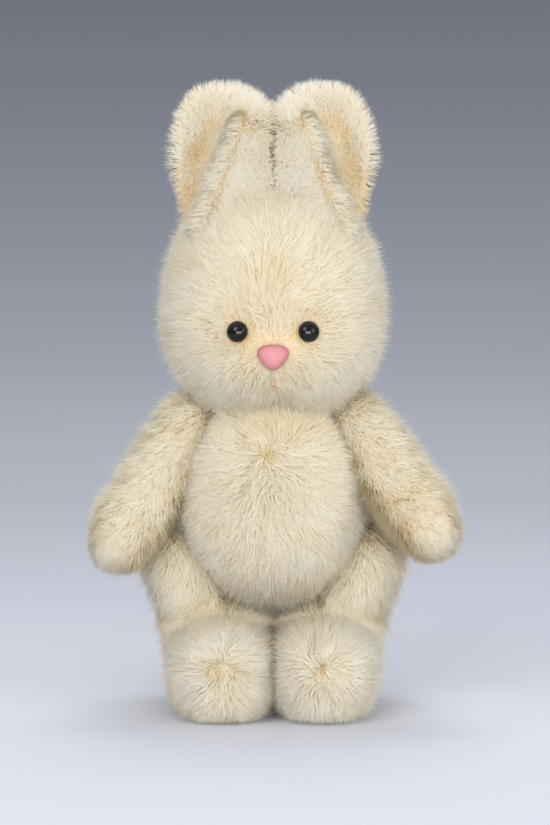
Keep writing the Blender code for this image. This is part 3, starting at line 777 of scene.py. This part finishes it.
def growLeg(side, seed):
    # The foot's fur spreads from the toe, the haunch's runs down and outward, and the sole's is short.
    sign = sides[side]
    point, outward = jointFrame("hip", side)
    surface = softSurface(legForm(side), (0, -1, 0), 120, 96)
    cover(f"legCloth.{side}", surface, "leg_" + side, f"leg_{side}_skin")
    toe = np.array([sign * leg["foot"]["x"] * mm, axisY - legPile["toeAhead"] * mm, legPile["toeZ"] * mm])
    footTop = legPile["footTop"] * mm

    def fromCrease(points):
        return np.abs(points[:, 2] - legPile["creaseZ"] * mm)

    def comb(points, normals):
        onFoot = ramp(points[:, 2], footTop + 8 * mm, footTop - 4 * mm)[:, None]
        behind = atY(points, -12, 12)[:, None]
        fromToe = (spread(points, toe, 22, seed + 75) + (0, 0, -0.15)) * (1 - behind)
        fromToe = fromToe + (0, 0.1, -1.0) * behind
        haunch = (0, -0.25, -1.0) + 0.25 * outward
        return fromToe * onFoot + haunch * (1 - onFoot)

    def length(points):
        onFoot = ramp(points[:, 2], footTop + 4 * mm, footTop - 4 * mm)
        longer = legPile["length"] - legPile["footShorter"] * onFoot
        longer = longer + legPile["highLonger"] * atZ(points, 72, 84)
        longer = longer + legPile["creaseLonger"] * band(fromCrease(points), 10, 0)
        return longer * (1 - legPile["soleShorter"] * atZ(points, 7, 2.9))

    def lift(points):
        return legPile["lift"] * near(points, toe, 3, 20)

    def tone(points, normals):
        # Painted shade: darker gold round the crease over the foot, on the inner side between the legs and near
        # the floor.
        golden = legPile["tone"] - legPile["crease"] * band(fromCrease(points), 15, 0)
        golden = golden - legPile["inner"] * atX(points, 9, 2)
        golden = golden - legPile["low"] * atZ(points, 8, 2)
        return golden + legPile["toe"] * near(points, toe, 6, 30)

    def where(high):
        def chosen(points, normals):
            keep = offPlane(points, point, outward, 15)
            sole = (points[:, 2] < 3.0 * mm) & (normals[:, 2] < -0.9)
            keep = np.where(sole, legPile["onSole"], keep)
            isHigh = points[:, 2] > footTop
            return keep * (isHigh if high else ~isHigh)
        return chosen

    for number, (name, high) in enumerate({"haunchFur": True, "footFur": False}.items()):
        growFur(f"{name}.{side}", surface, "leg_" + side, seed + number, comb=comb, length=length, tone=tone,
                where=where(high), lift=lift, **legPile["look"])


for number, side in enumerate(sides):
    growLeg(side, 41 + 3 * number)
print("legs done")

# The ear's shape in millimetres, as in the solid, and its pile: lengths, the tone, how much more golden each
# place is, which in the hollow, at the seam between the ears and at the ear's foot is painted shade, and how
# much paler the rim.
ear = {
    "x": 23.5, "z": 262, "out": 22.5, "in": 25, "up": 32, "down": 40, "roundness": 2.7, "behind": 2,
    "lean": 0.10, "half": 6.5, "cup": 7, "creaseTop": (18.5, 279), "creaseFoot": (32.5, 240), "lobe": 7,
    "hollow": 3, "middleGap": 0.35, "under": 1.8,
}
earPile = {
    "length": 7.5, "hollowShorter": 3.5, "lowLonger": 2.5, "highShorter": 2.0, "seamLonger": 3.5,
    "tone": 0.84, "hollow": 0.46, "seamShade": 0.28, "low": 0.18, "rim": 0.12,
    "look": {"perMm2": 10.0, "tuft": 3.4, "gather": 0.15, "rise": 1.0, "bend": 0.3, "droop": 0.1,
             "tilt": (0, -0.7, 0.1)},
}


def besideCrease(x, z):
    # Distance to the outer side of the slanting crease, in metres, and the share of the fold at this height.
    (topX, topZ), (footX, footZ) = ear["creaseTop"], ear["creaseFoot"]
    size = math.hypot(footX - topX, footZ - topZ)
    beside = ((x / mm - topX) * (topZ - footZ) + (z / mm - topZ) * (footX - topX)) / size * mm
    return beside, band(z, topZ + 10, topZ - 8)


def earSurface(side):
    # A flattened ball with a rounded-box outline, its middle sheet cupped forward at the rim, and a lobe
    # folded forward on the inner side of the crease. The right ear is the left one mirrored.
    directions, triangles = sphereGrid(132, 84)
    directions = directions[:, [0, 2, 1]] * (1, -1, 1)
    under, power = ear["under"], ear["roundness"]
    across, depth, up = directions.T
    rim, angle = np.hypot(across, up), np.arctan2(up, across)
    wide = np.where(across > 0, ear["out"], ear["in"]) - under
    tall = np.where(up > 0, ear["up"], ear["down"]) - under
    outline = np.abs(np.cos(angle) / wide) ** power + np.abs(np.sin(angle) / tall) ** power
    outline = outline ** (-1 / power) * mm
    x = ear["x"] * mm + rim * outline * np.cos(angle)
    z = ear["z"] * mm + rim * outline * np.sin(angle)
    beside, window = besideCrease(x, z)
    fold = ear["lobe"] * mm * band(beside, 2, -5)
    dip = ear["hollow"] * mm * band(beside, -2, 4) * band(beside, 20, 6)
    y = axisY - ear["behind"] * mm + ear["lean"] * (z - ear["z"] * mm) + depth * (ear["half"] - under) * mm
    y = y - ear["cup"] * mm * rim**2 + window * (dip - fold)
    points = np.column_stack([np.maximum(x, (ear["middleGap"] + under) * mm) * sides[side], y, z])
    surface = withNormals(points, triangles)
    if ((points - points.mean(axis=0)) * surface["normals"]).sum() < 0:
        surface = withNormals(points, triangles[:, ::-1])
    return surface


def growEar(side, seed):
    # Combed away from the ear's middle, down the lobe, out over the lobe's edge, and short in the hollow.
    sign = sides[side]
    surface = earSurface(side)
    cover(f"earCloth.{side}", surface, "head", "ear_" + side)
    centre = np.array([sign * ear["x"] * mm, axisY, ear["z"] * mm])

    def comb(points, normals):
        away = unit((points - centre) * (1, 0.2, 1))
        beside, window = besideCrease(points[:, 0] * sign, points[:, 2])
        onLobe = (band(beside, 1, -3) * window * ramp(-normals[:, 1], 0, 0.4))[:, None]
        onEdge = (band(beside, -7, -4) * band(beside, 3, 1) * window)[:, None]
        flow = away * (1 - onLobe) + (-0.5 * sign, 0, -0.7) * onLobe + (0, 0, 0.2)
        return flow * (1 - onEdge) + (0.8 * sign, -0.7, -0.1) * onEdge

    def length(points):
        beside, window = besideCrease(points[:, 0] * sign, points[:, 2])
        inHollow = band(beside, -1, 2) * band(beside, 18, 10) * window
        front = atY(points, 2, -3)
        longer = earPile["length"] - earPile["hollowShorter"] * inHollow * front
        longer = longer + earPile["lowLonger"] * atZ(points, 246, 232)
        longer = longer - earPile["highShorter"] * atZ(points, 262, 284)
        return longer + earPile["seamLonger"] * atX(points, 6, 1)

    def tone(points, normals):
        beside, window = besideCrease(points[:, 0] * sign, points[:, 2])
        inHollow = band(beside, -0.5, 1.5) * band(beside, 17, 10) * window * ramp(-normals[:, 1], 0.1, 0.5)
        # Painted shade: darker gold in the hollow, at the seam between the ears and at the ear's foot.
        golden = earPile["tone"] - earPile["hollow"] * inHollow
        golden = golden - earPile["seamShade"] * atX(points, 7, 2)
        golden = golden - earPile["low"] * atZ(points, 248, 232)
        return golden + earPile["rim"] * atZ(points, 280, 292)

    def where(points, normals):
        return (level(headShape, points) > 0.95).astype(float)

    growFur(f"earFur.{side}", surface, "head", seed, comb=comb, length=length, tone=tone, where=where,
            **earPile["look"])


for number, side in enumerate(sides):
    growEar(side, 51 + number)
print("ears done")

tail = {"radius": 14.5, "back": 37, "z": 66, "under": 2.8, "length": 12.0, "tone": 0.62}


def growTail():
    # A ball whose fur hangs down and back.
    centre = np.array([0, axisY + tail["back"] * mm, tail["z"] * mm])
    directions, triangles = sphereGrid(48, 32)
    surface = withNormals(centre + directions * (tail["radius"] - tail["under"]) * mm, triangles)
    cover("tailCloth", surface, "torso", "tail")
    growFur("tailFur", surface, "torso", 61, comb=lambda points, normals: (0, 0.35, -1.0) + 0 * points,
            length=lambda points: tail["length"], tone=lambda points, normals: tail["tone"],
            where=lambda points, normals: (level(bodyShape, points) > 0.96).astype(float))


growTail()
print("tail done")


def makeEye(side, profile, point, normal):
    # A profile of (radius, height) turned round the normal, from the dome's pole to the stem's foot, which a
    # fan of triangles closes.
    steps = 64
    third = unit(np.array(normal, float))
    first = unit(np.cross((0, 0, 1.0), third))
    second = np.cross(third, first)
    angles = np.arange(steps) / steps * 2 * math.pi
    ring = np.cos(angles)[:, None] * first + np.sin(angles)[:, None] * second
    radius, height = profile[1:, 0], profile[1:, 1]
    rows = point + radius[:, None, None] * ring + height[:, None, None] * third
    points = np.concatenate([[point + profile[0, 1] * third], rows.reshape(-1, 3),
                             [point + height[-1] * third]])
    around = np.arange(steps)
    after = (around + 1) % steps
    faces = [np.stack([0 * around, 1 + around, 1 + after], 1)]
    for row in range(len(radius) - 1):
        a, b = 1 + row * steps + around, 1 + row * steps + after
        faces += [np.stack([a, a + steps, b + steps], 1), np.stack([a, b + steps, b], 1)]
    last = 1 + (len(radius) - 1) * steps
    faces.append(np.stack([last + around, 0 * around + len(points) - 1, last + after], 1))
    mesh = meshFrom(f"eyeDome.{side}", points, np.concatenate(faces))
    newObject(mesh.name, mesh, eyeGloss, "head", "eye_" + side)


# Heights along the eye's axis and its stem's radius, in millimetres, and the dome's height over its radius.
eye = {"seat": -1.2, "shoulder": 1.0, "dome": 0.8, "stemRadius": 1.6, "step": 0.3, "stem": 11}
for side, (place, normal) in eyePlaces.items():
    angles, radius, seat = np.radians(np.linspace(0, 90, 20)), face["eyeRadius"], eye["seat"]
    high = seat + eye["shoulder"] + eye["dome"] * radius * np.cos(angles)
    dome = np.stack([radius * np.sin(angles), high], 1)
    foot = [[radius, seat], [eye["stemRadius"], seat - eye["step"]], [eye["stemRadius"], seat - eye["stem"]]]
    makeEye(side, np.concatenate([dome, foot]) * mm, place, normal)

nose = {"front": 4.2, "back": 1.6, "corner": 0.10, "middle": 0.4, "flare": 0.97}


def noseMaterial():
    # Flocked soft vinyl: matt pink with a fine nap, darker towards its rim where it rolls under, which is
    # painted shade.
    made, tree, shader = newMaterial("flockedPinkVinyl", {
        "Roughness": 0.68, "IOR": 1.5, "Specular IOR Level": 0.3, "Sheen Weight": 0.25, "Sheen Roughness": 0.4})
    place = addNode(tree, "TexCoord")["Object"]
    parts = uvParts(tree)
    nap = addNode(tree, "TexNoise", {"Scale": 2200.0, "Detail": 4.0, "Vector": place})[0]
    edge = addNode(tree, "Math", {"operation": "MULTIPLY_ADD", 1: 0.10, 0: nap, 2: parts[1]})
    # Painted shade: the stops darken from the front pole to the rim.
    stops = [(0.50, "A5575A"), (0.66, "B97071"), (0.82, "C58485"), (1.0, "C98A8A")]
    shades = addNode(tree, "ValToRGB", {"stops": stops, 0: edge[0]})
    finishMaterial(tree, shader, shades, nap, 0.35, 0.0002)
    return made


def noseCushion():
    # A squashed ball whose outline swells at three corners; UV height is 1 at the front pole, 0.5 at the rim.
    directions, triangles = sphereGrid(96, 48)
    x, y, height = directions.T
    corner = 1 + nose["corner"] * np.sin(3 * np.arctan2(y, x))
    wide = x * corner * face["noseWidth"] / 2 / nose["flare"] * mm
    tall = y * corner * face["noseHeight"] / 2 * mm
    out = (nose["middle"] + height * np.where(height > 0, nose["front"], nose["back"])) * mm
    mesh = meshFrom("noseCushion", nosePoint + np.stack([wide, -out, tall], 1), triangles)
    corners = np.empty(len(mesh.loops), np.int32)
    mesh.loops.foreach_get("vertex_index", corners)
    around = np.arctan2(directions[:, 1], directions[:, 0]) / (2 * math.pi) + 0.5
    upward = np.arcsin(np.clip(height, -1, 1)) / math.pi + 0.5
    setUvs(mesh, np.stack([around, upward], 1)[corners])
    newObject("noseCushion", mesh, noseMaterial(), "head", "nose")


noseCushion()


def threadMaterial(name, dark, light):
    # Two-ply cotton thread: a matt twist whose plies are lines slanting across the UV map, a sine of their
    # sum.
    made, tree, shader = newMaterial(name, {"Roughness": 0.8, "IOR": 1.5, "Specular IOR Level": 0.3})
    parts = uvParts(tree)
    slope = addNode(tree, "Math", {"operation": "MULTIPLY_ADD", 1: 12.0,
                     0: parts[1], 2: parts[0]})
    turns = addNode(tree, "Math", {"operation": "MULTIPLY", 1: 4 * math.pi, 0: slope[0]})
    plies = addNode(tree, "Math", {"operation": "SINE", 0: turns[0]})
    high = addNode(tree, "MapRange", {1: -1.0, 2: 1.0, 0: plies[0]})[0]
    shades = addNode(tree, "ValToRGB", {"stops": [(0.1, dark), (0.7, light)], 0: high})
    finishMaterial(tree, shader, shades, high, 0.8, 0.0002)
    return made


def threadTube(name, route, radius, material, node):
    # A circle carried along the route, its frame from the route's tangent and the face's outward direction.
    steps = 12
    tangent = unit(np.gradient(route, axis=0))
    beside = unit(np.cross(tangent, (0, -1.0, 0)))
    above = np.cross(beside, tangent)
    angles = (np.arange(steps) / steps * 2 * math.pi)[None, :, None]
    ring = (np.cos(angles) * beside[:, None] + np.sin(angles) * above[:, None]) * radius
    points = (route[:, None] + ring).reshape(-1, 3)
    rows = len(route)
    row, column = [part.ravel() for part in np.meshgrid(np.arange(rows - 1), np.arange(steps), indexing="ij")]
    a, b = row * steps + column, row * steps + (column + 1) % steps
    sheet = np.stack([a, a + steps, b + steps, b], 1)
    faces = [*sheet.tolist(), list(range(steps)), list(range((rows - 1) * steps, rows * steps))[::-1]]
    mesh = meshFrom(name, points, faces)
    start = np.stack([column / steps, row / (rows - 1)], 1)
    end = np.stack([column / steps, (row + 1) / (rows - 1)], 1)
    uvs = np.stack([start, end, end + (1 / steps, 0), start + (1 / steps, 0)], 1).reshape(-1, 2)
    setUvs(mesh, np.concatenate([uvs, np.zeros((2 * steps, 2))]))
    newObject(name, mesh, material, "head", node)


mouth = {
    "thread": 0.8, "lift": 0.6, "top": 163.4, "foot": 156.8, "lipTop": 155.4, "lipFoot": 153.0, "lipHalf": 4.2,
    "lipPower": 1.5,
}


def onFace(x, z):
    point, normal = onFront(headShape, x, z)
    return point + normal * mouth["lift"] * mm


def sewMouth():
    # A straight stitch under the nose, and a tan lip that falls away from its middle as the power of the
    # distance. The tan lip is painted shade: a thread drawn where the fur has a crease's shade.
    pink = threadMaterial("twistedPinkCotton", "D9A3A2", "EBC4C0")
    # Painted shade: the tan thread's colour stands for the shade of the crease under the mouth.
    tan = threadMaterial("tanLipShadeThread", "C79F63", "DDBB84")
    fall = mouth["lipFoot"] - mouth["lipTop"]
    stitch = [onFace(0, z) for z in np.linspace(mouth["top"], mouth["foot"], 24)]
    lip = [onFace(t * mouth["lipHalf"], mouth["lipTop"] + fall * abs(t) ** mouth["lipPower"])
           for t in np.linspace(-1, 1, 40)]
    threadTube("mouthThread", np.array(stitch), mouth["thread"] / 2 * mm, pink, "mouth_thread")
    threadTube("lipShadeThread", np.array(lip), mouth["thread"] / 2 * mm, tan, "lip_thread")


sewMouth()
print("face done")

# Metres and degrees: the camera's distance, its height over the target, the height that the frame covers
# there, and what the camera and the lights aim at.
studio = {
    "distance": 1.6, "elevation": 6.0, "frameHeight": 0.3908, "targetX": 0.0009, "targetZ": 0.1397,
    "sensor": 36, "lightsAim": 0.15, "floorRadius": 60.0, "floorAhead": 0.6,
}
# Each softbox's place, its size, its power in watts and its tint.
softboxes = {
    "keySoftbox": ((-1.0, -1.6, 1.5), (1.2, 1.2), 16.5, "FFFDFA"),
    "frontSoftbox": ((0.2, -2.4, 0.4), (2.2, 0.7), 42, "FFFFFF"),
    "fillSoftbox": ((1.7, -1.2, 0.8), (1.2, 1.2), 10, "FDFDFF"),
    "topSoftbox": ((0.1, 0.8, 1.6), (1.2, 0.6), 10, "FFFFFF"),
}


def studioFloor():
    # A round pale floor that darkens to grey-blue over the log of the distance from a place in front of the
    # rabbit.
    angles = np.arange(96) / 96 * 2 * math.pi
    rim = studio["floorRadius"] * np.stack([np.cos(angles), np.sin(angles), 0 * angles], 1)
    mesh = meshFrom("studioFloor", rim, [list(range(len(rim)))], False)
    floor = bpy.data.objects.new("studioFloor", mesh)
    bpy.context.scene.collection.objects.link(floor)
    made, tree, shader = newMaterial("paleStudioFloor", {"Roughness": 0.75})
    place = addNode(tree, "TexCoord")
    moved = addNode(tree, "VectorMath", {"operation": "ADD", 1: (0.0, studio["floorAhead"], 0.0),
                     0: place["Object"]})
    far = addNode(tree, "VectorMath", {"operation": "LENGTH", 0: moved["Vector"]})
    logged = addNode(tree, "Math", {"operation": "LOGARITHM", 1: 10.0, 0: far["Value"]})
    share = addNode(tree, "MapRange", {1: -0.5, 2: 1.7, 0: logged[0]})
    stops = [(0.024, "D2D4DB"), (0.094, "D4D6DD"), (0.165, "CACCD3"), (0.208, "C1C3CB"), (0.286, "ACAFB6"),
             (0.368, "ADB0B7"), (0.463, "B0B4BA"), (0.592, "A3A5AC"), (0.775, "94959D"), (0.99, "8B8E96")]
    finishMaterial(tree, shader, addNode(tree, "ValToRGB", {"stops": stops, 0: share[0]}))
    mesh.materials.append(made)


def aimed(name, data, place, direction):
    # Links a light or a camera so that it looks along a direction.
    made = bpy.data.objects.new(name, data)
    made.location = place
    made.rotation_mode = "QUATERNION"
    made.rotation_quaternion = Vector(direction).to_track_quat("-Z", "Y")
    bpy.context.scene.collection.objects.link(made)
    return made


def studioLight():
    # Four softboxes that the camera doesn't see, and a sky that is dark at the horizon and pale overhead.
    for name, (place, size, power, tint) in softboxes.items():
        light = bpy.data.lights.new(name, "AREA")
        light.shape = "RECTANGLE"
        light.size, light.size_y = size
        light.energy = power
        light.color = colour(tint)[:3]
        towards = np.array([0, 0, studio["lightsAim"]]) - np.array(place)
        aimed(name, light, place, towards).visible_camera = False
    world = bpy.data.worlds.new("studio")
    world.use_nodes = True
    tree = world.node_tree
    place = addNode(tree, "TexCoord")
    parts = addNode(tree, "SeparateXYZ", {0: place["Generated"]})
    stops = [(0.0, "787B84"), (0.0145, "70737C"), (0.08, "74777F"), (0.4, "B9BCC5"), (1.0, "DCDFE6")]
    shades = addNode(tree, "ValToRGB", {"stops": stops, 0: parts[2]})
    tree.links.new(shades[0], tree.nodes["Background"].inputs[0])
    bpy.context.scene.world = world
    bpy.context.scene.view_settings.view_transform = "Standard"


def studioCamera():
    # The lens covers the frame's height at the target: focal length = sensor x distance / height.
    camera = bpy.data.cameras.new("camera")
    camera.sensor_width = studio["sensor"]
    camera.lens = studio["sensor"] * studio["distance"] / studio["frameHeight"]
    up = math.radians(studio["elevation"])
    target = np.array([studio["targetX"], 0, studio["targetZ"]])
    back = np.array([0, -math.cos(up), math.sin(up)])
    bpy.context.scene.camera = aimed("camera", camera, target + studio["distance"] * back, -back)


studioFloor()
studioLight()
studioCamera()
print("studio done")
